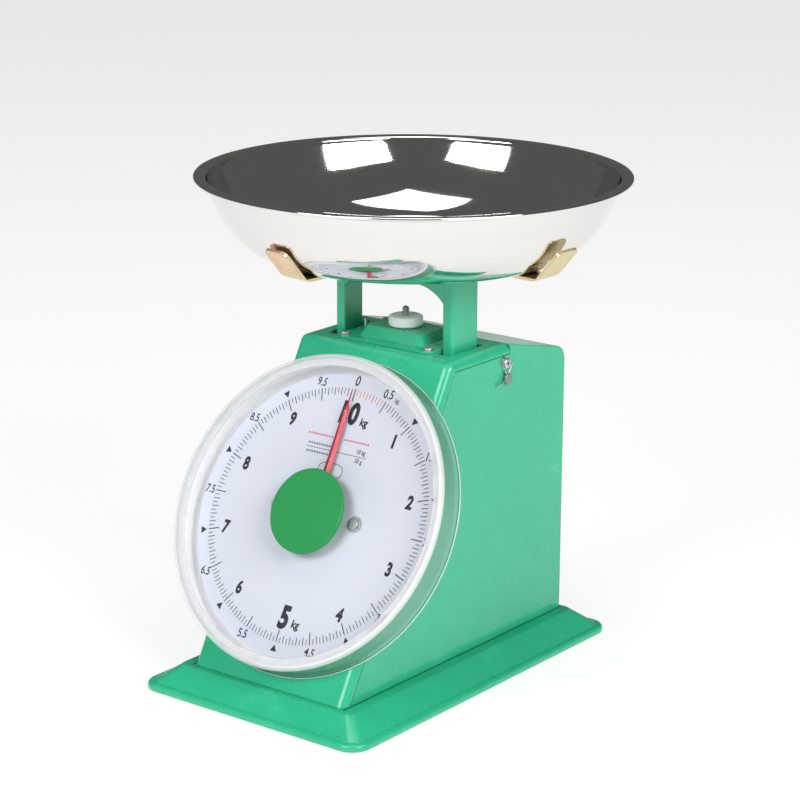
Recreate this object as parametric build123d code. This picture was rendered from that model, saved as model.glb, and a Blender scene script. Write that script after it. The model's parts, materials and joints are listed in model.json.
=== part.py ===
from build123d import *
from math import asin, atan2, cos, degrees, pi, radians, sin, tan
import os

# Counter spring scale, 10 kg: pressed steel body with a slanted round dial, bowl pan on a sliding frame.
# The parts are drawn from the middle of the base, +Z up from the table, -Y towards the dial, in millimetres.
# They are written out with the origin under the middle of the whole scale, pan included (see save).

os.makedirs("parts", exist_ok=True)

# --- driving dimensions ---------------------------------------------------------------------------
LIFT = 2.0                      # how far the rubber feet raise the pressed base
BASE_X, BASE_Y, BASE_R = 190.0, 295.0, 14.0
LIP_H = 4.5                     # height of the outer lip of the base
PLATEAU_Z = LIFT + 16.3
PLATEAU_X, PLATEAU_Y = 149.0, 257.0
SHEET = 1.2                     # body sheet
BODY_W = 132.0
FOLD_R = 7.0
FRONT_Y = -124.6                # foot of the slanted front
BODY_TOP = LIFT + 227.0
RIDGE_Y = 57.0                  # where the flat top ends and the rear slope starts
REAR_Y, REAR_TOP = 124.0, LIFT + 212.0
TILT = 28.7                     # slant of the dial face from the vertical
BAND = 6.5                      # folded side band of the front cover
DIAL_Z, DIAL_STANDOFF = LIFT + 123.9, 5.5
PLATE_R, TRAY_R = 99.0, 107.3
LENS_R, LENS_FRONT, LENS_T = 109.4, 15.1, 1.9
LENS_RING_R, LENS_RING_T = 101.0, 1.3
DISC_R, DISC_TOP = 29.5, 12.2

PINION_TEETH, MODULE = 12, 0.4
SHAFT_R = 1.5

POST_X, POST_T = 51.0, 2.0      # outer face of the post webs, and their sheet
POST_Y0, POST_Y1 = 11.8, 39.3
POST_FLANGE = 8.3
POST_LOW, BRIDGE_TOP = 55.0, LIFT + 283.2
ARCH_FOOT, ARCH_CROWN = LIFT + 260.3, LIFT + 270.8
SPRING_Y, SPRING_X = 26.0, 22.0
WIRE, COIL_R = 2.2, 7.9
HANGER_Z, YOKE_Z = 196.0, 119.0

LINK_L = 70.0                   # parallel links: length between pivots
PIVOT_Y, PIVOT_UP, PIVOT_LOW = 100.0, 190.0, 60.0
PIVOT_R, RUNNING = 3.0, 0.05

PAN_Y, PAN_R, PAN_WELL_R = 33.7, 150.0, 142.0
PAN_T, RIM_Z, PAN_DEPTH = 1.0, LIFT + 341.5, 54.3
PAN_BASE_R = 99.1
STRIP_W, STRIP_T = 20.5, 2.0
STRIP_REACH, TAB_OUT, TAB_RISE = 117.0, 19.5, 22.5
HUB_Y, STRIP_TURN = 37.5, -5.5

TILT_S, TILT_C = sin(radians(TILT)), cos(radians(TILT))
# One turn of the pinion moves the rack by its pitch circle.
# The pan falls by that over the cosine of the tilt.
CAPACITY_TRAVEL = pi * PINION_TEETH * MODULE / TILT_C
LINK_REST = degrees(asin(CAPACITY_TRAVEL / 2 / LINK_L))
ORIGIN_Y = (PAN_Y + PAN_R - BASE_Y / 2) / 2


def front_y(z):
    """Y of the slanted front's outer face at height z."""
    return FRONT_Y + (z - PLATEAU_Z) * tan(radians(TILT))


DIAL_Y = front_y(DIAL_Z) - DIAL_STANDOFF / TILT_C
# Dial frame: x to the right, y up the slope, z out of the plate; z = 0 is the printed face.
DIAL = Plane(origin=(0, DIAL_Y, DIAL_Z), x_dir=(1, 0, 0), z_dir=(0, -TILT_C, TILT_S)).location


# --- small helpers --------------------------------------------------------------------------------
def block(x0, x1, y0, y1, z0, z1):
    size = Box(x1 - x0, y1 - y0, z1 - z0)
    return Pos((x0 + x1) / 2, (y0 + y1) / 2, (z0 + z1) / 2) * size


def rod(r, z0, z1, x=0.0, y=0.0):
    return Pos(x, y, (z0 + z1) / 2) * Cylinder(r, z1 - z0)


def rod_x(r, x0, x1, y, z):
    return Pos((x0 + x1) / 2, y, z) * Rot(0, 90, 0) * Cylinder(r, x1 - x0)


def rod_y(r, y0, y1, x, z):
    return Pos(x, (y0 + y1) / 2, z) * Rot(90, 0, 0) * Cylinder(r, y1 - y0)


def side_prism(points, x0, x1):
    """Outline in the YZ plane, drawn out from x0 to x1."""
    face = make_face(Polyline(*points, close=True))
    return Pos(x0, 0, 0) * extrude(Plane.YZ * face, x1 - x0)


def pan_head(r, height, shank_r, length):
    """Cross-recessed screw, its head standing on z = 0 and its shank below."""
    head = rod(r, 0, height)
    head = fillet(head.edges().group_by(Axis.Z)[-1], height * 0.45)
    cross = block(-r * 0.55, r * 0.55, -r * 0.13, r * 0.13, height * 0.5, height + 1)
    head -= cross
    head -= Rot(0, 0, 90) * cross
    return head + rod(shank_r, -length, 0)


def save(name, *solids):
    placed = [Pos(0, -ORIGIN_Y, 0) * solid for solid in solids]
    export_step(Compound(children=placed), f"parts/{name}.step")


# --- base -----------------------------------------------------------------------------------------
def base_shape(inset, drop):
    edge = RectangleRounded(BASE_X - 2 * inset, BASE_Y - 2 * inset, BASE_R - inset)
    lip = extrude(Pos(0, 0, LIFT - drop) * edge, LIP_H)
    foot_z = LIFT + LIP_H - drop
    step = 9 + 2 * inset
    foot = Pos(0, 0, foot_z) * RectangleRounded(BASE_X - step, BASE_Y - step, BASE_R - 4 - inset)
    top = Pos(0, 0, PLATEAU_Z - drop) * RectangleRounded(PLATEAU_X - inset, PLATEAU_Y - inset, 6)
    if inset == 0:
        lip = fillet(lip.edges().group_by(Axis.Z)[-1], 2.5)
    return lip + loft([foot, top])


base_plate = base_shape(0, 0) - base_shape(SHEET + 0.3, SHEET + 0.3)
foot_spots = [(x, y) for x in (-60, 60) for y in (-112, 112)]
rubber_feet = [rod(8, 0, PLATEAU_Z - SHEET - 0.3, x, y) for x, y in foot_spots]

# --- front cover: slanted face and flat top in one pressing, with a folded side band --------------
band_dy = BAND / TILT_C
front_band = [
    (FRONT_Y, PLATEAU_Z),
    (front_y(BODY_TOP), BODY_TOP),
    (RIDGE_Y, BODY_TOP),
    (RIDGE_Y, BODY_TOP - BAND),
    (front_y(BODY_TOP - BAND) + band_dy, BODY_TOP - BAND),
    (FRONT_Y + band_dy, PLATEAU_Z),
]
front_cover = side_prism(front_band, -BODY_W / 2, BODY_W / 2)
fold = front_cover.edges().filter_by(Axis.X).sort_by(lambda e: e.center().Z - e.center().Y)[-1]
front_cover = fillet(fold, FOLD_R)
long_edges = front_cover.edges().filter_by(GeomType.LINE).filter_by(
    lambda e: abs(abs(e.center().X) - BODY_W / 2) < 0.01
    and (abs(e.center().Z - BODY_TOP) < 0.01 or abs(e.center().Y - front_y(e.center().Z)) < 0.01)
    and e.length > 20
)
front_cover = fillet(long_edges, 6.0)
skin_dy = SHEET / TILT_C
front_hollow = [
    (FRONT_Y + skin_dy - 2 * tan(radians(TILT)), PLATEAU_Z - 2),
    (front_y(BODY_TOP - SHEET) + skin_dy, BODY_TOP - SHEET),
    (RIDGE_Y + 1, BODY_TOP - SHEET),
    (RIDGE_Y + 1, BODY_TOP - BAND - 9),
    (front_y(BODY_TOP - BAND - 9) + band_dy + 9, BODY_TOP - BAND - 9),
    (FRONT_Y + band_dy + 9, PLATEAU_Z - 2),
]
hollow = side_prism(front_hollow, -BODY_W / 2 + SHEET, BODY_W / 2 - SHEET)
inner_fold = hollow.edges().filter_by(Axis.X).sort_by(lambda e: e.center().Z - e.center().Y)[-1]
hollow = fillet(inner_fold, FOLD_R - SHEET)
inner_edges = hollow.edges().filter_by(GeomType.LINE).filter_by(
    lambda e: abs(abs(e.center().X) - BODY_W / 2 + SHEET) < 0.01
    and (
        abs(e.center().Z - BODY_TOP + SHEET) < 0.01
        or abs(e.center().Y - front_y(e.center().Z) - skin_dy) < 0.01
    )
    and e.length > 20
)
front_cover -= fillet(inner_edges, 4.8)

# --- rear cover: two sides, back and sloping rear top ---------------------------------------------
SEAM = 0.4
slope = (BODY_TOP - REAR_TOP) / (REAR_Y - RIDGE_Y)
seam_foot = FRONT_Y + band_dy + SEAM
seam_top = BODY_TOP - BAND - SEAM
rear_outline = [
    (seam_foot, PLATEAU_Z),
    (front_y(seam_top) + band_dy + SEAM, seam_top),
    (RIDGE_Y + SEAM, seam_top),
    (RIDGE_Y + SEAM, BODY_TOP - slope * SEAM),
    (REAR_Y, REAR_TOP),
    (REAR_Y, PLATEAU_Z),
]
rear_cover = side_prism(rear_outline, -BODY_W / 2, BODY_W / 2)
rear_cover = fillet(
    rear_cover.edges().filter_by(
        lambda e: abs(e.center().X) < 0.01 and e.center().Y > REAR_Y - 1 and e.center().Z > REAR_TOP - 1
    ),
    12,
)
rear_inner = [
    (seam_foot - 6, PLATEAU_Z - 2),
    (front_y(seam_top) + band_dy - 3, seam_top + 1.5),
    (RIDGE_Y - 1, seam_top + 1.5),
    (RIDGE_Y - 1, BODY_TOP - SHEET + slope),
    (REAR_Y - SHEET, REAR_TOP - SHEET + slope * SHEET),
    (REAR_Y - SHEET, PLATEAU_Z - 2),
]
rear_hollow = side_prism(rear_inner, -BODY_W / 2 + SHEET, BODY_W / 2 - SHEET)
rear_hollow = fillet(
    rear_hollow.edges().filter_by(
        lambda e: abs(e.center().X) < 0.01 and e.center().Y > REAR_Y - 2 and e.center().Z > REAR_TOP - 3
    ),
    10.8,
)
rear_cover -= rear_hollow

# --- inner frame that carries the springs and the parallel links ----------------------------------
CHASSIS_X, CHASSIS_T = 59.0, 2.0
CHASSIS_TOP = BODY_TOP - SHEET
CHASSIS_LOW = CHASSIS_TOP - 2.5
side_plate = [
    (-2, CHASSIS_LOW),
    (50, CHASSIS_LOW),
    (112, 212),
    (112, PLATEAU_Z),
    (58, PLATEAU_Z),
    (58, 195),
    (-2, 212),
]
chassis = block(-CHASSIS_X, CHASSIS_X, -2, RIDGE_Y - 1, CHASSIS_LOW, CHASSIS_TOP)
for side in (-1, 1):
    inner, outer = sorted((side * (CHASSIS_X - CHASSIS_T), side * CHASSIS_X))
    chassis += side_prism(side_plate, inner, outer)
    inner, outer = sorted((side * (CHASSIS_X - 14), side * CHASSIS_X))
    chassis += block(inner, outer, 58, 112, PLATEAU_Z, PLATEAU_Z + 2)
chassis += block(-CHASSIS_X, CHASSIS_X, 110, 112, 140, 170)

# --- slots for the posts in the top, screws and the bracket over the spring hanger ----------------
slots = Part()
for side in (-1, 1):
    middle = side * 47.25
    slots += Pos(middle, 24.5, BODY_TOP - 5) * extrude(RectangleRounded(11.5, 39, 2), 10)
front_cover -= slots
chassis -= slots

BRACKET_H = 9.0
BRACKET_T = 1.5
BRACKET_MID_Y = 27.5
STUD_X, STUD_Y = -35.5, 27.0
flange_edge = Pos(0, BRACKET_MID_Y, BODY_TOP) * RectangleRounded(82, 57, 6)
bracket_foot = Pos(0, SPRING_Y, BODY_TOP) * RectangleRounded(58, 40, 5)
bracket_top = Pos(0, SPRING_Y, BODY_TOP + BRACKET_H) * RectangleRounded(48, 29, 4)
top_bracket = extrude(flange_edge, BRACKET_T) + loft([bracket_foot, bracket_top])
inner_foot = Pos(0, SPRING_Y, BODY_TOP) * RectangleRounded(54, 36, 3)
inner_top = Pos(0, SPRING_Y, BODY_TOP + BRACKET_H - 2) * RectangleRounded(44, 25, 2)
top_bracket -= loft([inner_foot, inner_top])

bracket_screw = pan_head(3.4, 2.4, 1.75, 5.2)
corner_spots = [(side * 36, y) for side in (-1, 1) for y in (4.0, 51.0)]
bracket_screws = [Pos(x, y, BODY_TOP + BRACKET_T) * bracket_screw for x, y in corner_spots]
stud = rod(2.4, BRACKET_T, BRACKET_T + 7.0) - rod_x(0.8, -4, 4, 0, BRACKET_T + 4.8)
seal_stud = Pos(STUD_X, STUD_Y, BODY_TOP) * (stud + rod(1.75, -3.7, BRACKET_T))
top_holes = rod(1.75, BODY_TOP - 6, BODY_TOP + 2, STUD_X, STUD_Y)
for x, y in corner_spots:
    top_holes += rod(1.75, BODY_TOP - 6, BODY_TOP + 2, x, y)
top_bracket -= top_holes
top_holes += rod(4.0, BODY_TOP - 6, BODY_TOP + 2, 0, SPRING_Y)
front_cover -= top_holes
chassis -= top_holes
top_bracket -= rod(3.2, BODY_TOP, BODY_TOP + 20, 0, SPRING_Y)

# --- zero setting: thumb wheel nut, hanger bolt, hanger plate -------------------------------------
WHEEL_R, WHEEL_Z, WHEEL_H = 12.0, BODY_TOP + BRACKET_H + 0.3, 7.2
BOLT_R, BOLT_TIP = 2.5, LIFT + 250.0
zero_wheel = rod(WHEEL_R, WHEEL_Z, WHEEL_Z + WHEEL_H, 0, SPRING_Y)
zero_wheel = fillet(zero_wheel.edges().filter_by(GeomType.CIRCLE), 1.8)
zero_wheel -= rod(BOLT_R + RUNNING, WHEEL_Z - 1, WHEEL_Z + WHEEL_H + 1, 0, SPRING_Y)
hanger_bolt = rod(BOLT_R, HANGER_Z - 7, BOLT_TIP, 0, SPRING_Y)
hanger_bolt = chamfer(hanger_bolt.edges().group_by(Axis.Z)[-1], 0.8)
spring_hanger = block(-31, 31, SPRING_Y - 7, SPRING_Y + 7, HANGER_Z, HANGER_Z + 3)
spring_hanger -= rod(BOLT_R, HANGER_Z - 1, HANGER_Z + 4, 0, SPRING_Y)
hanger_nut = Pos(0, SPRING_Y, HANGER_Z - 4) * extrude(RegularPolygon(4.6, 6), 4)
hanger_nut -= rod(BOLT_R, HANGER_Z - 8, HANGER_Z, 0, SPRING_Y)

# --- two tension springs wound round threaded plugs -----------------------------------------------
SPRING_LOW, SPRING_HIGH = YOKE_Z + 1.5, HANGER_Z - 1.5
upper_plugs, lower_plugs = [], []
springs = {}
for name, x in (("left_spring", -SPRING_X), ("right_spring", SPRING_X)):
    # Close-wound coil, drawn as the sleeve that its turns fill.
    coil = rod(COIL_R + WIRE / 2, SPRING_LOW, SPRING_HIGH, x, SPRING_Y)
    springs[name] = coil - rod(COIL_R - WIRE / 2, SPRING_LOW - 1, SPRING_HIGH + 1, x, SPRING_Y)
    plug_r = COIL_R - WIRE / 2 - 0.3
    upper_plugs.append(rod(plug_r, HANGER_Z - 14, HANGER_Z, x, SPRING_Y))
    lower_plugs.append(rod(plug_r, YOKE_Z, YOKE_Z + 14, x, SPRING_Y))

# --- load frame: two L section posts, bridge, spring yoke -----------------------------------------
def post(side):
    web = block(POST_X - POST_T, POST_X, POST_Y0, POST_Y1, POST_LOW, BRIDGE_TOP - 2)
    flange = block(POST_X - POST_FLANGE, POST_X, POST_Y0, POST_Y0 + POST_T, POST_LOW, BRIDGE_TOP - 2)
    shape = web + flange
    fold = shape.edges().filter_by(Axis.Z).sort_by(lambda e: e.center().Y - e.center().X)[0]
    shape = fillet(fold, 2.6)
    return shape if side > 0 else mirror(shape, Plane.YZ)


front_pin_y = PIVOT_Y - LINK_L * cos(radians(LINK_REST))
front_pin_rise = LINK_L * sin(radians(LINK_REST))
pin_holes = Part()
front_pins = []
for side in (-1, 1):
    for z in (PIVOT_UP + front_pin_rise, PIVOT_LOW + front_pin_rise):
        pin = rod_x(2.5, *sorted((side * (POST_X - POST_T), side * 54.6)), front_pin_y, z)
        head = rod_x(4.2, *sorted((side * 54.6, side * 55.8)), front_pin_y, z)
        front_pins.append(pin + head)
        pin_holes += rod_x(2.5, *sorted((side * 45, side * 60)), front_pin_y, z)
left_post = post(-1) - pin_holes
right_post = post(1) - pin_holes

arch_x = POST_X - POST_FLANGE
bridge_outline = make_face(
    Polyline((-18.7, ARCH_CROWN), (18.7, ARCH_CROWN))
    + ThreePointArc((18.7, ARCH_CROWN), (33.5, ARCH_CROWN - 3.4), (arch_x, ARCH_FOOT))
    + Polyline((arch_x, ARCH_FOOT), (arch_x, BRIDGE_TOP - 2), (-arch_x, BRIDGE_TOP - 2), (-arch_x, ARCH_FOOT))
    + ThreePointArc((-arch_x, ARCH_FOOT), (-33.5, ARCH_CROWN - 3.4), (-18.7, ARCH_CROWN))
)
load_bridge = Pos(0, POST_Y0 + POST_T, 0) * extrude(Plane.XZ * bridge_outline, POST_T)
load_bridge += block(-POST_X, POST_X, POST_Y0, 56, BRIDGE_TOP - 2, BRIDGE_TOP)
spring_yoke = block(-POST_X + POST_T, POST_X - POST_T, 15, 38, YOKE_Z - 3, YOKE_Z)

# --- parallel links -------------------------------------------------------------------------------
def link(pivot_z):
    outline = SlotCenterToCenter(LINK_L, 13)
    arm = extrude(Plane.YZ * outline, 2)
    arm = Pos(0, -LINK_L / 2, 0) * arm
    arm -= rod_x(PIVOT_R + RUNNING, -1, 3, 0, 0)
    arm -= rod_x(3.5, -1, 3, -LINK_L, 0)
    both = Pos(52.3, 0, 0) * arm + Pos(-54.3, 0, 0) * arm
    both += block(-54.3, 54.3, -24, -12, -1, 1)
    return Pos(0, PIVOT_Y, pivot_z) * Rot(-LINK_REST, 0, 0) * both


upper_link, lower_link = link(PIVOT_UP), link(PIVOT_LOW)
rear_pins = [rod_x(PIVOT_R, -CHASSIS_X - 1.5, CHASSIS_X + 1.5, PIVOT_Y, z) for z in (PIVOT_UP, PIVOT_LOW)]
for z in (PIVOT_UP, PIVOT_LOW):
    chassis -= rod_x(PIVOT_R, -70, 70, PIVOT_Y, z)
travel_stops = [rod(6, PLATEAU_Z, POST_LOW - CAPACITY_TRAVEL - 0.5, side * 47, 25) for side in (-1, 1)]

# --- movement: plates, bushes, shaft, pinion and rack, in the dial frame --------------------------
COVER_IN = -DIAL_STANDOFF - SHEET
FRONT_PLATE, BACK_PLATE = -28.0, -52.0
PILLARS = [(x, y) for x in (-19, 19) for y in (-17, 10)]


def movement_plate(low, y_top):
    plate = block(-24, 24, -22, y_top, low, low + 2)
    return plate - rod(4, low - 1, low + 3)


movement_front_plate = DIAL * movement_plate(FRONT_PLATE, 20)
movement_back_plate = DIAL * movement_plate(BACK_PLATE, 14.5)
front_pillars = [DIAL * rod(3, FRONT_PLATE + 2, COVER_IN, x, y) for x, y in PILLARS]
back_pillars = [DIAL * rod(3, BACK_PLATE + 2, FRONT_PLATE, x, y) for x, y in PILLARS]
bushes = []
for low in (FRONT_PLATE, BACK_PLATE):
    bushes.append(DIAL * (rod(4, low - 0.6, low + 2.6) - rod(SHAFT_R + RUNNING, low - 1, low + 3)))

pitch_r = PINION_TEETH * MODULE / 2
pitch = pi * MODULE
RACK_MID = -38.0                # height of the pinion and rack under the printed face
tooth_tip, tooth_root = pitch_r + 0.34, pitch_r - 0.45


def pinion_outline():
    face = Circle(tooth_root)
    half = pitch * 0.2
    tooth = make_face(Polyline(
        (0, -half * 1.25), (tooth_root, -half * 1.25), (tooth_tip, -half * 0.45),
        (tooth_tip, half * 0.45), (tooth_root, half * 1.25), (0, half * 1.25), close=True))
    for k in range(PINION_TEETH):
        face += Rot(0, 0, 360 * k / PINION_TEETH) * tooth
    return face - Circle(SHAFT_R)


pinion = DIAL * Pos(0, 0, RACK_MID - 3) * extrude(pinion_outline(), 6)
pointer_shaft = DIAL * rod(SHAFT_R, BACK_PLATE - 2.5, DISC_TOP - 2.2)

RACK_X0, RACK_X1 = pitch_r + 0.45, pitch_r + 3.6
PIN_RISE = 36.0                 # the rack pin's place above the shaft, along the slope
rack_travel = CAPACITY_TRAVEL * TILT_C
slot_run = CAPACITY_TRAVEL * TILT_S
rack = block(RACK_X0, RACK_X1, -6, PIN_RISE + 5, RACK_MID - 1.5, RACK_MID + 1.5)
rack += block(RACK_X0, RACK_X1, PIN_RISE - 4.5, PIN_RISE + 5, RACK_MID - slot_run - 3.4, RACK_MID + 4)
for k in range(-3, 15):
    middle = (k + 0.5) * pitch
    half = pitch * 0.2
    tooth = make_face(Polyline(
        (RACK_X0 + 0.1, middle - half * 1.3), (pitch_r - 0.3, middle - half * 0.4),
        (pitch_r - 0.3, middle + half * 0.4), (RACK_X0 + 0.1, middle + half * 1.3), close=True))
    rack += Pos(0, 0, RACK_MID - 1.5) * extrude(tooth, 3)
pin_slot = block(0, 5, -1.65, 1.65, -slot_run - 1.9, 1.9)
rack -= Pos(RACK_X0 - 1, PIN_RISE, RACK_MID) * pin_slot
rack = DIAL * rack
rack_guide = DIAL * block(RACK_X1 + 0.3, RACK_X1 + 4, -6, 8, BACK_PLATE + 2, FRONT_PLATE)

pin_y = DIAL_Y + PIN_RISE * TILT_S - RACK_MID * TILT_C
pin_z = DIAL_Z + PIN_RISE * TILT_C + RACK_MID * TILT_S
rack_pin = rod_x(SHAFT_R, 1.2, 10.0, pin_y, pin_z)
arm_outline = [
    (15, YOKE_Z - 3),
    (15, pin_z + 3),
    (pin_y - 4, pin_z + 3),
    (pin_y - 4, pin_z - 3),
    (12, pin_z - 3),
    (12, YOKE_Z - 3),
]
rack_arm = side_prism(arm_outline, 8, 10) - rod_x(SHAFT_R, 7, 11, pin_y, pin_z)
bimetal_strip = block(10, 11.2, pin_y + 4, 10, pin_z - 2.2, pin_z + 2.2)

# --- pointer and its centre disc ------------------------------------------------------------------
POINTER_H, POINTER_SHEET = 3.5, 0.5
# Along the blade: distance from the shaft, half width and rise of the fold. Shoulder, then needle.
BLADE = [(-20, 2.9, 1.1), (28, 2.8, 1.1), (74, 2.1, 0.9), (77.5, 0.6, 0.35), (87.4, 0.3, 0.2)]


def pointer_blade():
    """Folded blade, a shallow roof in section, with a shoulder and a thin needle."""
    sections = []
    for y, half, rise in BLADE:
        ridge = (0, rise)
        under = (0, rise - POINTER_SHEET)
        roof = Polyline(
            (-half, 0), ridge, (half, 0), (half, -POINTER_SHEET), under, (-half, -POINTER_SHEET), close=True)
        across = Plane(origin=(0, y, POINTER_H), x_dir=(1, 0, 0), z_dir=(0, -1, 0))
        sections.append(across * make_face(roof))
    return loft(sections, ruled=True)


blade = pointer_blade() + rod(5.5, POINTER_H - 1.2, DISC_TOP - 2.2)
pointer = DIAL * (blade - rod(SHAFT_R, -5, 20))
disc = fillet(rod(DISC_R, DISC_TOP - 2.2, DISC_TOP).edges().group_by(Axis.Z)[-1], 0.9)
pointer_disc = DIAL * disc

# --- dial: tray, plate, screws, washers, lens -----------------------------------------------------
SCREW_X, WASHER_T = 33.5, 0.6
RING_TOP = LENS_FRONT - LENS_T
RING_LOW = RING_TOP - LENS_RING_T
# Dish with an upright wall, and a raised ring on its floor that carries the printed plate.
tray = rod(TRAY_R, -DIAL_STANDOFF, -DIAL_STANDOFF + 1)
tray += rod(TRAY_R, -DIAL_STANDOFF, RING_LOW) - rod(TRAY_R - SHEET, -DIAL_STANDOFF, RING_LOW)
tray += rod(PLATE_R - 1, -DIAL_STANDOFF, -1.2) - rod(PLATE_R - 3, -DIAL_STANDOFF, -1.2)
lens_ring = rod(TRAY_R, RING_LOW, RING_TOP) - rod(LENS_RING_R, RING_LOW - 1, RING_TOP + 1)
plate = rod(PLATE_R, -1.2, 0) - rod(5, -2, 1)
tray -= rod(5, -8, 1)
dial_screws, dial_washers = [], []
cover_holes = rod(5, -9, 0)
for side in (-1, 1):
    x = side * SCREW_X
    tray += rod(6, -DIAL_STANDOFF, -1.2, x, 0)
    dial_washers.append(DIAL * (rod(5.6, 0, WASHER_T, x, 0) - rod(2, -1, 2, x, 0)))
    dial_screws.append(DIAL * Pos(x, 0, WASHER_T) * pan_head(3.7, 1.8, 2.0, 9.3))
    cover_holes += rod(2, -9, 1, x, 0)
tray -= cover_holes
plate -= cover_holes
front_cover -= DIAL * cover_holes
# Clear cap: flat front, drafted side wall that fits over the dish, and a bead round its rear edge.
LENS_DRAFT, BEAD = 0.8, 0.7
lens_outline = Polyline(
    (0, LENS_FRONT), (LENS_R - 2, LENS_FRONT), (LENS_R, LENS_FRONT - 2),
    (LENS_R + LENS_DRAFT, -DIAL_STANDOFF + 1.3), (LENS_R + LENS_DRAFT + BEAD, -DIAL_STANDOFF + 1.3),
    (LENS_R + LENS_DRAFT + BEAD, -DIAL_STANDOFF), (LENS_R + LENS_DRAFT - LENS_T, -DIAL_STANDOFF),
    (LENS_R - LENS_T, LENS_FRONT - LENS_T), (0, LENS_FRONT - LENS_T), close=True)
dial_lens = DIAL * revolve(Plane.XZ * make_face(lens_outline), Axis.Z)

# --- pan carrier: two crossed strips with upturned tabs -------------------------------------------
STRIP_LOW = BRIDGE_TOP + STRIP_T


def strip(dip):
    """Flat strip along x with both ends turned up; dip lowers its middle under the other strip."""
    z = STRIP_LOW
    end = STRIP_REACH
    half = [(0, z - dip), (13, z - dip), (17, z), (end, z), (end + TAB_OUT, z + TAB_RISE)]
    if dip == 0:
        half = [(0, z), (end, z), (end + TAB_OUT, z + TAB_RISE)]
    lean = atan2(TAB_RISE, TAB_OUT)
    up = [(x, h + STRIP_T) for x, h in half[:-2]]
    up.append((end - STRIP_T * tan(lean / 2), z + STRIP_T))
    up.append((end + TAB_OUT - STRIP_T * sin(lean), z + TAB_RISE + STRIP_T * cos(lean)))
    right = half + up[::-1]
    left = [(-x, h) for x, h in right]
    shape = Part()
    for outline in (right, left):
        face = make_face(Polyline(*outline, close=True))
        shape += Pos(0, STRIP_W / 2, 0) * extrude(Plane.XZ * face, STRIP_W)
    bends = shape.edges().filter_by(Axis.Y).filter_by(
        lambda e: end - 4 < abs(e.center().X) < end + 1)
    shape = fillet(bends.filter_by(lambda e: e.center().Z < z + 0.5), 13)
    tips = shape.edges().filter_by(
        lambda e: abs(e.center().X) > end + TAB_OUT - 3 and e.length < STRIP_T + 0.3)
    return fillet(tips.filter_by(lambda e: abs(e.center().Y) > STRIP_W / 2 - 0.1), 5)


rivet = rod(4, BRIDGE_TOP - 5, STRIP_LOW + STRIP_T) + rod(7, BRIDGE_TOP - 5, BRIDGE_TOP - 2)
carrier = Pos(0, HUB_Y, 0) * Rot(0, 0, STRIP_TURN)
rivet_hole = rod(4, BRIDGE_TOP - 6, BRIDGE_TOP + 9)
carrier_strip_x = carrier * (strip(0) - rivet_hole)
carrier_strip_y = carrier * Rot(0, 0, 90) * (strip(STRIP_T) - rivet_hole)
carrier_rivet = Pos(0, HUB_Y, 0) * rivet
load_bridge -= Pos(0, HUB_Y, 0) * rivet_hole

# --- pan: spun bowl with a flat lip and a rolled edge ---------------------------------------------
PAN_LOW = RIM_Z - PAN_DEPTH


def bowl_outline():
    outer = Bezier((PAN_WELL_R, RIM_Z - 1), (130.7, RIM_Z - 44.8), (106.2, PAN_LOW), (PAN_BASE_R, PAN_LOW))
    inner = Bezier(
        (PAN_WELL_R - PAN_T, RIM_Z - 1), (130.7 - PAN_T, RIM_Z - 44.8 + PAN_T),
        (106.2 - PAN_T, PAN_LOW + PAN_T), (PAN_BASE_R - PAN_T, PAN_LOW + PAN_T))
    close = Polyline(
        (PAN_BASE_R, PAN_LOW), (0, PAN_LOW), (0, PAN_LOW + PAN_T), (PAN_BASE_R - PAN_T, PAN_LOW + PAN_T))
    top = Line((PAN_WELL_R, RIM_Z - 1), (PAN_WELL_R - PAN_T, RIM_Z - 1))
    return make_face(outer + inner + close + top)


bowl = revolve(Plane.XZ * bowl_outline(), Axis.Z)
lip = rod(PAN_R - 1, RIM_Z - 1, RIM_Z) - rod(PAN_WELL_R - PAN_T, RIM_Z - 2, RIM_Z + 1)
roll = Pos(0, 0, RIM_Z - 1.3) * Torus(PAN_R - 1.3, 1.3)
pan = Pos(0, PAN_Y, 0) * (bowl + lip + roll)

# --- cover screws and the seal on the right side --------------------------------------------------
SEAL_Y, SEAL_Z = 51.2, LIFT + 215.2
side_x = BODY_W / 2
seal_washer = Pos(side_x, SEAL_Y, SEAL_Z) * Rot(0, 90, 0) * (rod(4.6, 0, 0.9) - rod(2, -1, 2))
turn_x = Rot(0, 90, 0)
seal_screw = Pos(side_x + 0.9, SEAL_Y, SEAL_Z) * turn_x * pan_head(3.6, 2.4, 2.0, 6)
plain_screw = Pos(-side_x, SEAL_Y, SEAL_Z) * Rot(0, -90, 0) * pan_head(3.6, 2.4, 2.0, 5.1)
rear_spots = [(x, z) for x in (-48, 48) for z in (PLATEAU_Z + 14, 190)]
rear_screws = [Pos(x, REAR_Y, z) * Rot(-90, 0, 0) * pan_head(3.6, 2.4, 2.0, 5) for x, z in rear_spots]
rear_cover -= rod_x(2, side_x - 9, side_x + 1, SEAL_Y, SEAL_Z)
rear_cover -= rod_x(2, -side_x - 1, -side_x + 9, SEAL_Y, SEAL_Z)
for x, z in rear_spots:
    rear_cover -= rod_y(2, REAR_Y - 8, REAR_Y + 1, x, z)

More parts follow.
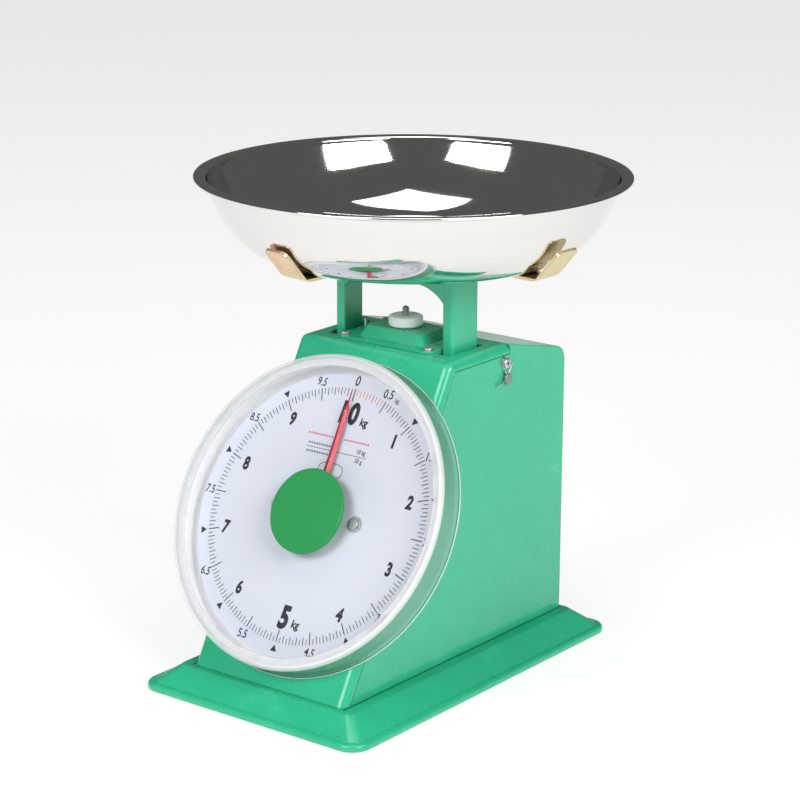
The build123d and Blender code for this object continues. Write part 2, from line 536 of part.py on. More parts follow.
LEAD_Y, LEAD_Z = 52.7, LIFT + 203.9
wire_x = side_x + 1.6
lead_seal = Pos(side_x + 0.2, LEAD_Y, LEAD_Z) * turn_x * fillet(rod(3.8, 0, 3.0).edges(), 0.8)
seal_wire_parts = []
for run in (
    [(SEAL_Y + 7.6, SEAL_Z - 1.6), (SEAL_Y + 5.4, SEAL_Z - 3.2), (LEAD_Y + 1.2, LEAD_Z + 3.3)],
    [(SEAL_Y - 2.0, SEAL_Z - 5.3), (LEAD_Y - 1.0, LEAD_Z + 3.4)],
    [(LEAD_Y - 3.4, LEAD_Z - 1.2), (LEAD_Y - 8.0, LEAD_Z - 2.4), (LEAD_Y - 12.6, LEAD_Z - 2.6)],
):
    points = [(wire_x, y, z) for y, z in run]
    for a, b in zip(points, points[1:]):
        line = Line(a, b)
        seal_wire_parts.append(sweep(Plane(origin=a, z_dir=line % 0) * Circle(0.55), line))
    for joint in points[1:-1]:
        seal_wire_parts.append(Pos(*joint) * Sphere(0.55))

seal_wire = [sum(seal_wire_parts[0:2] + seal_wire_parts[2:3], Part())]
seal_wire.append(seal_wire_parts[3])
seal_wire.append(sum(seal_wire_parts[4:], Part()))

# --- write every sub-part -------------------------------------------------------------------------
single = dict(
    base_plate=base_plate, front_cover=front_cover, rear_cover=rear_cover, chassis=chassis,
    top_bracket=top_bracket, seal_stud=seal_stud, zero_wheel=zero_wheel, hanger_bolt=hanger_bolt,
    spring_hanger=spring_hanger, hanger_nut=hanger_nut, left_post=left_post, right_post=right_post,
    load_bridge=load_bridge, spring_yoke=spring_yoke, upper_link=upper_link, lower_link=lower_link,
    movement_front_plate=movement_front_plate, movement_back_plate=movement_back_plate, pinion=pinion,
    pointer_shaft=pointer_shaft, rack=rack, rack_guide=rack_guide, rack_pin=rack_pin, rack_arm=rack_arm,
    bimetal_strip=bimetal_strip, pointer=pointer, pointer_disc=pointer_disc, dial_tray=DIAL * tray,
    dial_plate=DIAL * plate, lens_ring=DIAL * lens_ring, dial_lens=dial_lens, carrier_strip_x=carrier_strip_x,
    carrier_strip_y=carrier_strip_y, carrier_rivet=carrier_rivet, pan=pan, seal_washer=seal_washer,
    seal_screw=seal_screw, lead_seal=lead_seal, left_side_screw=plain_screw, **springs,
)
groups = dict(
    rubber_feet=rubber_feet, bracket_screws=bracket_screws, upper_spring_plugs=upper_plugs,
    lower_spring_plugs=lower_plugs, front_link_pins=front_pins, rear_link_pins=rear_pins,
    travel_stops=travel_stops, front_pillars=front_pillars, back_pillars=back_pillars, shaft_bushes=bushes,
    dial_screws=dial_screws, dial_washers=dial_washers, rear_screws=rear_screws, seal_wire=seal_wire,
)
for name, solid in single.items():
    save(name, solid)
for name, solids in groups.items():
    save(name, *solids)
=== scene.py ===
import json
from collections import namedtuple
from math import copysign, cos, pi, radians, sin, sqrt

import bmesh
import bpy
from mathutils import Matrix, Vector


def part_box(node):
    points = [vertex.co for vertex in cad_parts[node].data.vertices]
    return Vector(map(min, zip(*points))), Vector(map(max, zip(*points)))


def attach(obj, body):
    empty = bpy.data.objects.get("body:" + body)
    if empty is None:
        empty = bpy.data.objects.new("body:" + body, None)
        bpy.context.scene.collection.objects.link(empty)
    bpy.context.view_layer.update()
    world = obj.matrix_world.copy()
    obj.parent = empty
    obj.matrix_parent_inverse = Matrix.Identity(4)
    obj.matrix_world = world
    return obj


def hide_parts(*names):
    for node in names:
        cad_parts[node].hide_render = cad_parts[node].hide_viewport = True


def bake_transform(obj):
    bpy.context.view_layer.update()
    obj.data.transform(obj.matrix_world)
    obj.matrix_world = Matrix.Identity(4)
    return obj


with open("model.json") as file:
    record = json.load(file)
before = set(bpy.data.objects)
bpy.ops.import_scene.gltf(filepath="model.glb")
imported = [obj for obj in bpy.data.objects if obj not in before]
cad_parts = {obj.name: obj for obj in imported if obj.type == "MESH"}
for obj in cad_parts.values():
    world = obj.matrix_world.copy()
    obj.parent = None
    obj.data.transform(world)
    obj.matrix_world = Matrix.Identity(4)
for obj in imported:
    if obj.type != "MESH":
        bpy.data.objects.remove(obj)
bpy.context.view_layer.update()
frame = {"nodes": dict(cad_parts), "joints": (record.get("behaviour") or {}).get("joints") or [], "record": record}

MM = 0.001  # the frame is in metres
JOINT = {joint["name"]: joint for joint in frame["joints"]}


# --- places taken from the frame ------------------------------------------------------------------
def centre(node):
    """Middle of a CAD node's box."""
    low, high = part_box(node)
    return (low + high) / 2


PAN_LOW, PAN_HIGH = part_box("pan")
PAN_CENTRE = centre("pan")
PAN_R = (PAN_HIGH.x - PAN_LOW.x) / 2
BOLT_LOW, BOLT_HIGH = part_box("hanger_bolt")
BOLT_CENTRE = centre("hanger_bolt")

# The dial's own frame: x to the right, y up the slope, z out of the printed face.
DIAL_OUT = -Vector(JOINT["pointer_spin"]["axis"]).normalized()
DIAL_UP = DIAL_OUT.cross(Vector((1, 0, 0)))
DIAL = Matrix((Vector((1, 0, 0)), DIAL_UP, DIAL_OUT)).transposed().to_4x4()
DIAL.translation = Vector(JOINT["pointer_spin"]["pos_m"])
DIAL_INVERSE = DIAL.inverted()


def dial_heights(node):
    """Lowest and highest point of a node above the printed face, and its largest radius."""
    points = [DIAL_INVERSE @ v.co for v in frame["nodes"][node].data.vertices]
    heights = [p.z for p in points]
    radii = [sqrt(p.x ** 2 + p.y ** 2) for p in points]
    return min(heights), max(heights), max(radii)


# --- mesh helpers ---------------------------------------------------------------------------------
def add_mesh(name, vertices, faces, materials, body, sharp=30, replaces=(), place=None):
    """A finished piece: smooth shaded, riding on its body, with the given materials."""
    mesh = bpy.data.meshes.new(name)
    mesh.from_pydata(vertices, [], faces)
    tidy = bmesh.new()
    tidy.from_mesh(mesh)
    bmesh.ops.remove_doubles(tidy, verts=tidy.verts, dist=1e-7)
    bmesh.ops.recalc_face_normals(tidy, faces=tidy.faces)
    tidy.to_mesh(mesh)
    tidy.free()
    return add_piece(name, mesh, materials, body, sharp, replaces, place)


def add_piece(name, mesh, materials, body, sharp=30, replaces=(), place=None):
    """Adds a mesh to the scene. Without a body, the piece is left unattached."""
    if place is not None:
        mesh.transform(place)
    for polygon in mesh.polygons:
        polygon.use_smooth = True
    mesh.set_sharp_from_angle(angle=radians(sharp))
    for material in materials:
        mesh.materials.append(material)
    piece = bpy.data.objects.new(name, mesh)
    bpy.context.scene.collection.objects.link(piece)
    if body:
        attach(piece, body)
    if replaces:
        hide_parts(*replaces)
    return piece


def spin(outline, segments):
    """Closed outline of (radius, height) points turned about Z: vertices and faces."""
    vertices, faces = [], []
    for k in range(segments):
        turn = 2 * pi * k / segments
        vertices += [(r * cos(turn), r * sin(turn), z) for r, z in outline]
    count = len(outline)
    for k in range(segments):
        here, there = k * count, (k + 1) % segments * count
        for i in range(count):
            j = (i + 1) % count
            if outline[i][0] < 1e-9 and outline[j][0] < 1e-9:
                continue
            corners = [here + i, there + i, there + j, here + j]
            if outline[i][0] < 1e-9:
                corners = [here + i, there + j, here + j]
            elif outline[j][0] < 1e-9:
                corners = [here + i, there + i, here + j]
            faces.append(corners)
    return vertices, faces


def arc(cx, cz, radius, start, end, steps):
    """Points on an arc, in degrees, for outlines."""
    angles = [radians(start + (end - start) * k / steps) for k in range(steps + 1)]
    return [(cx + radius * cos(a), cz + radius * sin(a)) for a in angles]


def bezier(a, b, c, d, steps):
    """Points on a cubic curve from a to d, drawn towards b and c."""
    points = []
    for k in range(steps + 1):
        t = k / steps
        weights = ((1 - t) ** 3, 3 * t * (1 - t) ** 2, 3 * t * t * (1 - t), t ** 3)
        points.append(tuple(sum(w * p[i] for w, p in zip(weights, (a, b, c, d))) for i in (0, 1)))
    return points


# --- material helpers -----------------------------------------------------------------------------
class Paint:
    """Builds one node material around a Principled shader."""

    def __init__(self, name, **sockets):
        self.material = bpy.data.materials.new(name)
        self.material.use_nodes = True
        self.nodes = self.material.node_tree.nodes
        self.links = self.material.node_tree.links
        self.shader = self.nodes["Principled BSDF"]
        for socket, value in sockets.items():
            self.shader.inputs[socket.replace("_", " ")].default_value = value
        self.place = self.nodes.new("ShaderNodeTexCoord").outputs["Object"]

    def node(self, kind, inputs=None, **settings):
        made = self.nodes.new(kind)
        for key, value in settings.items():
            setattr(made, key, value)
        for key, value in (inputs or {}).items():
            if isinstance(value, bpy.types.NodeSocket):
                self.links.new(value, made.inputs[key])
            else:
                made.inputs[key].default_value = value
        return made

    def noise(self, scale, detail=2.0, roughness=0.5, stretch=None):
        """Cloudy pattern in the object's own coordinates."""
        place = self.place
        if stretch:
            mapping = self.node("ShaderNodeMapping", {"Vector": place, "Scale": stretch})
            place = mapping.outputs[0]
        inputs = {"Vector": place, "Scale": scale, "Detail": detail, "Roughness": roughness}
        return self.node("ShaderNodeTexNoise", inputs).outputs["Fac"]

    def ramp(self, fac, stops, target):
        """Drives a socket of the shader through (position, grey or colour) stops."""
        made = self.node("ShaderNodeValToRGB", {"Fac": fac})
        elements = made.color_ramp.elements
        while len(elements) < len(stops):
            elements.new(0.5)
        for element, (position, value) in zip(elements, stops):
            element.position = position
            element.color = (*value, 1) if hasattr(value, "__len__") else (value, value, value, 1)
        self.links.new(made.outputs[0], self.shader.inputs[target])

    def bump(self, height, strength, distance):
        inputs = {"Height": height, "Strength": strength, "Distance": distance}
        made = self.node("ShaderNodeBump", inputs)
        self.links.new(made.outputs[0], self.shader.inputs["Normal"])


def shade(colour, factor):
    """A lighter or darker copy of a colour."""
    return tuple(min(1.0, c * factor) for c in colour)


# --- materials ------------------------------------------------------------------------------------
def green_paint():
    """Sprayed gloss enamel: cloudy tone with pale patches, and softened folds."""
    paint = Paint("green_enamel", Specular_IOR_Level=0.35, Coat_Weight=0.4, Coat_Roughness=0.08)
    green, pale_green, fold_r = (0.028, 0.47, 0.252), (0.06, 0.52, 0.32), 1.8 * MM
    cloud = paint.noise(22.0, 14.0, 0.74)
    paint.ramp(cloud, [(0.3, shade(green, 0.93)), (0.6, shade(green, 1.03)), (0.68, pale_green)],
               "Base Color")
    paint.ramp(paint.noise(60.0, 3.0), [(0.35, 0.26), (0.7, 0.36)], "Roughness")
    soft = paint.node("ShaderNodeBevel", {"Radius": fold_r}, samples=8)
    paint.links.new(soft.outputs[0], paint.shader.inputs["Normal"])
    return paint.material


def plated(name, colour, rough=(0.22, 0.38), grain=0.08):
    """Barrel-plated steel: slightly cloudy, with a fine random grain."""
    paint = Paint(name, Metallic=1.0)
    paint.ramp(paint.noise(90.0, 4.0), [(0.3, shade(colour, 0.86)), (0.7, shade(colour, 1.1))], "Base Color")
    paint.ramp(paint.noise(240.0, 3.0), [(0.3, rough[0]), (0.7, rough[1])], "Roughness")
    paint.bump(paint.noise(900.0, 2.0), grain, 0.0003)
    return paint.material


def yellow_zinc():
    """Yellow passivated zinc: patches of straw, olive and rose that drift across the strip."""
    paint = Paint("yellow_zinc", Metallic=0.85, Specular_IOR_Level=0.6)
    drift = paint.noise(38.0, 2.0, 0.45)
    tones = [(0.25, (0.55, 0.57, 0.32)), (0.42, (0.72, 0.62, 0.34)), (0.56, (0.76, 0.50, 0.33)),
             (0.66, (0.76, 0.66, 0.42)), (0.80, (0.52, 0.56, 0.36))]
    paint.ramp(drift, tones, "Base Color")
    paint.ramp(paint.noise(160.0, 3.0), [(0.3, 0.24), (0.7, 0.4)], "Roughness")
    paint.bump(paint.noise(700.0, 2.0), 0.10, 0.0003)
    return paint.material


def polished_steel():
    """Mirror polish with the faint rings left by spinning."""
    paint = Paint("polished_steel", Metallic=1.0)
    steel = (0.80, 0.785, 0.765)
    rings = paint.noise(9.0, 3.0, 0.5, stretch=(1.0, 1.0, 60.0))
    paint.ramp(rings, [(0.3, shade(steel, 0.98)), (0.7, shade(steel, 1.01))], "Base Color")
    paint.ramp(paint.noise(35.0, 4.0), [(0.3, 0.035), (0.75, 0.085)], "Roughness")
    paint.bump(rings, 0.03, 0.0004)
    return paint.material


def dial_enamel():
    """Smooth white print plate, very slightly uneven."""
    paint = Paint("dial_enamel", Specular_IOR_Level=0.4)
    white = (0.70, 0.735, 0.83)
    paint.ramp(paint.noise(8.0, 2.0), [(0.3, shade(white, 0.985)), (0.7, shade(white, 1.01))], "Base Color")
    paint.ramp(paint.noise(150.0, 2.0), [(0.3, 0.3), (0.7, 0.38)], "Roughness")
    return paint.material


def ink(name, colour):
    """Matt screen print."""
    paint = Paint(name, Specular_IOR_Level=0.3)
    paint.ramp(paint.noise(500.0, 2.0), [(0.3, shade(colour, 0.9)), (0.7, shade(colour, 1.15))], "Base Color")
    paint.ramp(paint.noise(300.0, 2.0), [(0.3, 0.45), (0.7, 0.55)], "Roughness")
    return paint.material


def plastic(name, colour, rough=(0.3, 0.4), texture=0.05):
    """Opaque moulding with a fine surface texture."""
    paint = Paint(name, Specular_IOR_Level=0.5)
    paint.ramp(paint.noise(45.0, 3.0), [(0.3, shade(colour, 0.96)), (0.7, shade(colour, 1.03))], "Base Color")
    paint.ramp(paint.noise(220.0, 2.0), [(0.3, rough[0]), (0.7, rough[1])], "Roughness")
    paint.bump(paint.noise(1200.0, 2.0), texture, 0.0002)
    return paint.material


def clear_plastic(name, tint, alpha, rough):
    """Clear moulding: mostly let through, with a light haze of its own."""
    paint = Paint(name, Specular_IOR_Level=0.5, Alpha=alpha)
    paint.ramp(paint.noise(30.0, 2.0), [(0.3, shade(tint, 0.97)), (0.7, tint)], "Base Color")
    paint.ramp(paint.noise(120.0, 2.0), [(0.3, rough), (0.7, rough + 0.05)], "Roughness")
    return paint.material


def milky_plastic():
    """Thin white spacer that lets a little of what is behind it show."""
    paint = Paint("milky_ring", Specular_IOR_Level=0.4, Alpha=0.6)
    white = (0.84, 0.85, 0.87)
    paint.ramp(paint.noise(12.0, 2.0), [(0.3, shade(white, 0.97)), (0.7, shade(white, 1.02))], "Base Color")
    paint.ramp(paint.noise(150.0, 2.0), [(0.3, 0.3), (0.7, 0.4)], "Roughness")
    return paint.material


GREEN = green_paint()
ZINC = plated("zinc_plate", (0.62, 0.63, 0.65))
DULL_ZINC = plated("dull_zinc", (0.50, 0.52, 0.53), (0.42, 0.54))
STEEL = plated("plain_steel", (0.42, 0.42, 0.43), (0.3, 0.45))
DARK_STEEL = plated("dark_bolt_steel", (0.20, 0.19, 0.18), (0.25, 0.4))
SPRING_STEEL = plated("spring_wire", (0.34, 0.34, 0.36), (0.25, 0.4))
BRASS = plated("machined_brass", (0.72, 0.52, 0.22), (0.2, 0.35))
LEAD = plated("cast_lead", (0.36, 0.36, 0.37), (0.4, 0.6), 0.3)
YELLOW = yellow_zinc()
POLISHED = polished_steel()
WHITE = dial_enamel()
BLACK_INK = ink("black_ink", (0.035, 0.035, 0.05))
GREY_INK = ink("grey_ink", (0.12, 0.12, 0.15))
RED_INK = ink("red_ink", (0.70, 0.10, 0.10))
# Dark green for the strips of painted shade along the body's foot.
GAP_PAINTED_SHADE = ink("gap_painted_shade", (0.008, 0.07, 0.045))
RED_LIGHT = plastic("pointer_red_light", (0.66, 0.035, 0.055), (0.25, 0.35), 0.02)
# The second pointer red is the same red darkened: painted shade for the shaded side of the fold.
RED_PAINTED_SHADE = plastic("pointer_red_painted_shade", (0.32, 0.012, 0.02), (0.25, 0.35), 0.02)
DISC_GREEN = plastic("disc_green", (0.006, 0.30, 0.07), (0.45, 0.55), 0.02)
WHEEL_GREY = plastic("wheel_grey", (0.92, 0.95, 0.95), (0.35, 0.5), 0.08)
DISH_GREY = plastic("dish_grey", (0.93, 0.94, 0.96), (0.35, 0.45), 0.03)
RUBBER = plastic("black_rubber", (0.02, 0.02, 0.02), (0.6, 0.75), 0.2)
LENS_FRONT = clear_plastic("lens_front", (0.05, 0.055, 0.06), 0.03, 0.03)
LENS_WALL = clear_plastic("lens_wall", (0.38, 0.52, 0.47), 0.2, 0.2)
# The bead's pale colour is a painted highlight along the rolled rear edge.
LENS_BEAD_HIGHLIGHT = clear_plastic("lens_bead_painted_highlight", (0.72, 0.80, 0.77), 0.7, 0.2)
# The dark line above the bead is painted shade.
LENS_SHADE_LINE = clear_plastic("lens_painted_shade_line", (0.02, 0.10, 0.07), 0.55, 0.3)
RING_WHITE = milky_plastic()

SLOT_MATERIAL = {
    "green_paint": GREEN, "zinc": ZINC, "steel": STEEL, "polished_steel": POLISHED,
    "yellow_zinc": YELLOW, "spring_steel": SPRING_STEEL, "dark_steel": DARK_STEEL,
    "dial_white": WHITE, "clear_lens": LENS_FRONT, "pointer_red": RED_LIGHT,
    "disc_green": DISC_GREEN, "wheel_grey": WHEEL_GREY, "rubber": RUBBER, "brass": BRASS,
    "lead": LEAD, "tray_grey": RING_WHITE,
}
DULL_NODES = ("dial_screws", "dial_washers", "bracket_screws", "seal_washer")
for part in frame["record"]["subparts"]:
    dull = part["node"] in DULL_NODES
    for slot in frame["nodes"][part["node"]].material_slots:
        slot.material = DULL_ZINC if dull else SLOT_MATERIAL[part["material_slot"]]


# --- pan: spun bowl with a flat lip and a rolled edge ---------------------------------------------
def build_pan():
    top, low = PAN_HIGH.z, PAN_LOW.z
    well_r, base_r, sheet = 142 * MM, 99.1 * MM, 1.0 * MM
    belly_r, belly_drop, toe_r = 130.7 * MM, 44.8 * MM, 106.2 * MM  # what the side's curve is drawn towards
    corner, under_r, over_r = 2.5 * MM, 1.6 * MM, 2.2 * MM  # bend from the side into the lip
    roll = 1.3 * MM
    flat_rings = (0, 40 * MM, 80 * MM)

    def wall(inset):
        foot = low + inset
        return bezier(
            (well_r - inset, top - corner), (belly_r - inset, top - belly_drop + inset),
            (toe_r - inset, foot), (base_r - inset, foot), steps=40)

    outline = [(r, low) for r in flat_rings]
    outline += wall(0)[::-1]
    outline += arc(well_r + under_r, top - corner, under_r, 180, 90, 6)[1:]
    outline += [(PAN_R - 2 * roll, top - sheet)]
    outline += arc(PAN_R - roll, top - roll, roll, 150, 450, 16)
    outline += [(PAN_R - 4 * MM, top), (well_r + 2 * MM, top - 0.15 * MM)]
    outline += arc(well_r + over_r - sheet, top - corner, over_r, 90, 180, 8)
    outline += wall(sheet)[1:]
    outline += [(r, low + sheet) for r in reversed(flat_rings)]
    vertices, faces = spin(outline, segments=256)
    place = Matrix.Translation((PAN_CENTRE.x, PAN_CENTRE.y, 0))
    add_mesh("pan_bowl", vertices, faces, [POLISHED], "pan", sharp=50,
             replaces=["pan"], place=place)


build_pan()


# --- painted shade along the joint where the body stands on the base ------------------------------
BOX_FACES = ((3, 2, 1, 0), (4, 5, 6, 7), (0, 1, 5, 4), (1, 2, 6, 5), (2, 3, 7, 6), (3, 0, 4, 7))


def build_foot_gap():
    """Thin dark strips of painted shade along the foot of both sides and the back."""
    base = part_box("base_plate")[1].z
    front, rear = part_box("front_cover"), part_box("rear_cover")
    low_x, high_x, low_y, high_y = front[0].x, front[1].x, front[0].y, rear[1].y
    step, tall = 0.25 * MM, 0.35 * MM
    vertices, faces = [], []
    for x0, x1, y0, y1 in ((low_x - step, low_x + step, low_y, high_y + step),
                           (high_x - step, high_x + step, low_y, high_y + step),
                           (low_x, high_x, high_y - step, high_y + step)):
        first = len(vertices)
        corners = ((x0, y0), (x1, y0), (x1, y1), (x0, y1))
        vertices += [(x, y, z) for z in (base, base + tall) for x, y in corners]
        faces += [[first + i for i in face] for face in BOX_FACES]
    add_mesh("foot_painted_shade", vertices, faces, [GAP_PAINTED_SHADE], "housing")


build_foot_gap()


# --- clear lens over the dial, and the dish that it fits over -------------------------------------
LENS_MATERIALS = [LENS_FRONT, LENS_WALL, LENS_SHADE_LINE, LENS_BEAD_HIGHLIGHT, RING_WHITE]
WALL, SHADE_LINE, BEAD_HIGHLIGHT, MILKY_AND_HIGHLIGHT = 1, 2, 3, 4  # places in that list
FLAT_RING = 60 * MM  # an extra ring of points across the flat faces
TRAY_R = 107.3 * MM  # outside of the dish's rim


def build_lens():
    """Clear front and skirt with a rolled rear bead; the milky spacer shows behind its front edge. The rounded
    front corner is painted milky, partly as a painted highlight; the bead has a painted highlight and a thin band
    above it painted shade.
    """
    low, high, radius = dial_heights("dial_lens")
    sheet, draft, bead, corner = 1.9 * MM, 0.8 * MM, 0.7 * MM, 3.0 * MM
    bead_r = 0.65 * MM
    line_low, line_mid, line_high = low + 1.3 * MM, low + 1.6 * MM, low + 2.2 * MM
    ring_low, ring_in = high - 2.4 * MM, TRAY_R - 1.4 * MM
    wall_r, front_r = radius - bead, radius - bead - draft
    inner = corner - sheet + 0.2 * MM
    outline = [(0, high), (FLAT_RING, high), (front_r - corner, high)]
    outline += arc(front_r - corner, high - corner, corner, 90, 0, 8)[1:]
    outline += [(wall_r - 0.04 * MM, line_high), (wall_r, line_mid), (wall_r + 0.2 * MM, line_low)]
    outline += arc(radius - bead_r, low + bead_r, bead_r, 80, -80, 6)
    outline += [(wall_r - sheet, low)]
    outline += arc(front_r - sheet - inner, high - sheet - inner, inner, 0, 90, 5)
    outline += [(FLAT_RING, high - sheet), (0, high - sheet)]
    vertices, faces = spin(outline, segments=192)
    lens = add_mesh("dial_cover", vertices, faces, LENS_MATERIALS, "housing", sharp=35,
                    replaces=["dial_lens"], place=DIAL)
    for polygon in lens.data.polygons:
        spot = DIAL_INVERSE @ polygon.center
        out = sqrt(spot.x ** 2 + spot.y ** 2)
        # Painted milky white on the rounded front corner: partly the white spacer behind it, partly a painted
        # highlight on the corner.
        if out > front_r - corner:
            polygon.material_index = MILKY_AND_HIGHLIGHT if spot.z > ring_low and out > ring_in else WALL
        # Painted shade on a thin band of the skirt's back, and a painted highlight on the bead below it.
        if out > wall_r - 0.2 * MM and spot.z < line_high:
            polygon.material_index = SHADE_LINE if spot.z > line_low else BEAD_HIGHLIGHT


def build_dish():
    """Green outside, pale grey inside, with a rolled front edge and a low seat under the plate."""
    low, high, radius = dial_heights("dial_tray")
    plate_low = dial_heights("dial_plate")[0]
    wall, round_r, inner_r = 1.2 * MM, 1.6 * MM, 0.8 * MM
    bore_r, seat_r, seat_top, seat_foot = 5.2 * MM, 97.0 * MM, 1.0 * MM, 1.2 * MM
    outline = [(bore_r, low), (FLAT_RING, low)]
    outline += arc(radius - round_r, low + round_r, round_r, -90, 0, 5)
    outline += arc(radius - wall / 2, high - wall / 2, wall / 2, 0, 180, 8)
    outline += arc(radius - wall - inner_r, low + wall + 0.6 * MM, inner_r, 0, -90, 4)
    outline += [(seat_r + seat_foot, low + wall), (seat_r + seat_top, plate_low),
                (seat_r - seat_top, plate_low), (seat_r - seat_foot, low + wall), (bore_r, low + wall)]
    vertices, faces = spin(outline, segments=192)
    dish = add_mesh("dial_dish", vertices, faces, [DISH_GREY, GREEN], "housing", sharp=35,
                    replaces=["dial_tray"], place=DIAL)
    for polygon in dish.data.polygons:
        spot = DIAL_INVERSE @ polygon.center
        if sqrt(spot.x ** 2 + spot.y ** 2) > radius - wall * 0.6 or spot.z < low + wall * 0.4:
            polygon.material_index = 1  # green


build_lens()
build_dish()


# --- dial printing --------------------------------------------------------------------------------
CAPACITY, PER_KG = 10, 20  # kg round the dial, and marks to each kg
INK_LOW, INK_H, WORD_DEPTH = 0.01 * MM, 0.06 * MM, 0.05 * MM
TICK_OUT = 89.4 * MM
TICK_KINDS = (  # marks apart, inner radius, half width; the longest first
    (10, 80.7 * MM, 0.36 * MM),
    (2, 84.0 * MM, 0.27 * MM),
    (1, 85.4 * MM, 0.24 * MM))
DASH_PITCH = 2.2  # mm
Style = namedtuple("Style", "narrow weight slant")


class Print:
    """Collects flat printed shapes, each raised by the thickness of the ink."""

    def __init__(self):
        self.vertices, self.faces = [], []

    def shape(self, points):
        count, first = len(points), len(self.vertices)
        self.vertices += [(x, y, INK_LOW) for x, y in points]
        self.vertices += [(x, y, INK_H) for x, y in points]
        self.faces.append([first + count + i for i in range(count)])
        self.faces.append([first + i for i in reversed(range(count))])
        for i in range(count):
            j = (i + 1) % count
            self.faces.append([first + i, first + j, first + count + j, first + count + i])

    def bar(self, low_x, high_x, low_y, high_y):
        self.shape([(low_x, low_y), (high_x, low_y), (high_x, high_y), (low_x, high_y)])

    def polar(self, kg, corners):
        """Corners of (sideways, outwards) at a reading of the dial."""
        turn = 2 * pi * kg / CAPACITY
        self.shape([(a * cos(turn) + r * sin(turn), r * cos(turn) - a * sin(turn)) for a, r in corners])

    def add(self, name, material):
        add_mesh(name, self.vertices, self.faces, [material], "housing", place=DIAL)


def build_ticks():
    """Marks each 50 g, red up to the first half kilogram, and an arrowhead at each kilogram."""
    black, red = Print(), Print()
    for step in range(CAPACITY * PER_KG):
        inner, half = next((r, w) for apart, r, w in TICK_KINDS if step % apart == 0)
        target = red if 0 < step < PER_KG // 2 else black
        target.polar(step / PER_KG, [(-half, inner), (half, inner), (half, TICK_OUT), (-half, TICK_OUT)])
    arrow_half, arrow_tip, arrow_out = 2.6 * MM, 91.0 * MM, 95.6 * MM
    for kg in range(1, CAPACITY):
        black.polar(kg, [(-arrow_half, arrow_out), (0, arrow_tip), (arrow_half, arrow_out)])
    black.add("dial_ticks", BLACK_INK)
    red.add("dial_red_ticks", RED_INK)


def dashes(target, y, first, last, half, tall):
    """Short dashes along the dial, where the real plate has a line of small words."""
    count = int((last - first) / (DASH_PITCH * MM))
    for k in range(count + 1):
        x = first + k * DASH_PITCH * MM
        target.bar(x - half, x + half, y - tall, y + tall)


def build_marks():
    """Plain stand-ins for the printed phrases and the maker's oval."""
    red, grey = Print(), Print()
    for first, last in ((-26.4, -2.2), (4.4, 26.4)):
        dashes(red, 54.0 * MM, first * MM, last * MM, 0.6 * MM, 0.65 * MM)
    for y in (47.4, 41.6):
        dashes(grey, y * MM, -24.0 * MM, -4.0 * MM, 0.65 * MM, 0.7 * MM)
    rule, half_rule, thin = 44.6 * MM, 25.5 * MM, 0.22 * MM
    grey.bar(-half_rule, half_rule, rule - thin, rule + thin)

    middle, half_w, half_h, line = 31.6 * MM, 10.5 * MM, 5.2 * MM, 0.5 * MM
    corners, squareness = 48, 0.7

    def oval(turn, inset):
        angle = 2 * pi * turn / corners
        return (copysign(abs(cos(angle)) ** squareness, cos(angle)) * (half_w - inset),
                middle + copysign(abs(sin(angle)) ** squareness, sin(angle)) * (half_h - inset))

    for k in range(corners):
        grey.shape([oval(k, 0), oval(k + 1, 0), oval(k + 1, line), oval(k, line)])
    red.add("dial_red_dashes", RED_INK)
    grey.add("dial_marks", GREY_INK)


def letters(text, height, style):
    """Outline of one printed word, centred on its own middle: vertices and faces."""
    curve = bpy.data.curves.new("lettering", "FONT")
    curve.body = text
    curve.size = 1.0
    curve.offset = style.weight
    curve.shear = style.slant
    curve.resolution_u = 6
    holder = bpy.data.objects.new("lettering", curve)
    bpy.context.scene.collection.objects.link(holder)
    bpy.context.view_layer.update()
    mesh = bpy.data.meshes.new_from_object(holder.evaluated_get(bpy.context.evaluated_depsgraph_get()))
    points = [v.co.copy() for v in mesh.vertices]
    faces = [list(p.vertices) for p in mesh.polygons]
    bpy.data.objects.remove(holder)
    bpy.data.curves.remove(curve)
    bpy.data.meshes.remove(mesh)
    low_x, high_x = min(p.x for p in points), max(p.x for p in points)
    low_y, high_y = min(p.y for p in points), max(p.y for p in points)
    size = height / (high_y - low_y)
    middle = Vector(((low_x + high_x) / 2, (low_y + high_y) / 2, 0))
    return [((p.x - middle.x) * size * style.narrow, (p.y - middle.y) * size) for p in points], faces


def build_words(name, material, words):
    """One printed piece from (text, x, y, height, style) entries, as thick as the ink."""
    vertices, faces = [], []
    for text, x, y, height, style in words:
        points, polygons = letters(text, height, style)
        first = len(vertices)
        vertices += [(x + a, y + b, INK_H) for a, b in points]
        faces += [[first + i for i in polygon] for polygon in polygons]
    piece = add_mesh(name, vertices, faces, [material], "housing", place=DIAL)
    skirt = bmesh.new()
    skirt.from_mesh(piece.data)
    made = bmesh.ops.extrude_face_region(skirt, geom=skirt.faces[:])
    moved = [v for v in made["geom"] if isinstance(v, bmesh.types.BMVert)]
    bmesh.ops.translate(skirt, verts=moved, vec=DIAL_OUT * -WORD_DEPTH)
    bmesh.ops.recalc_face_normals(skirt, faces=skirt.faces)
    skirt.to_mesh(piece.data)
    skirt.free()


def on_dial(kg, radius):
    """Place of a reading, across and up from the dial's middle."""
    turn = 2 * pi * kg / CAPACITY
    return radius * sin(turn), radius * cos(turn)


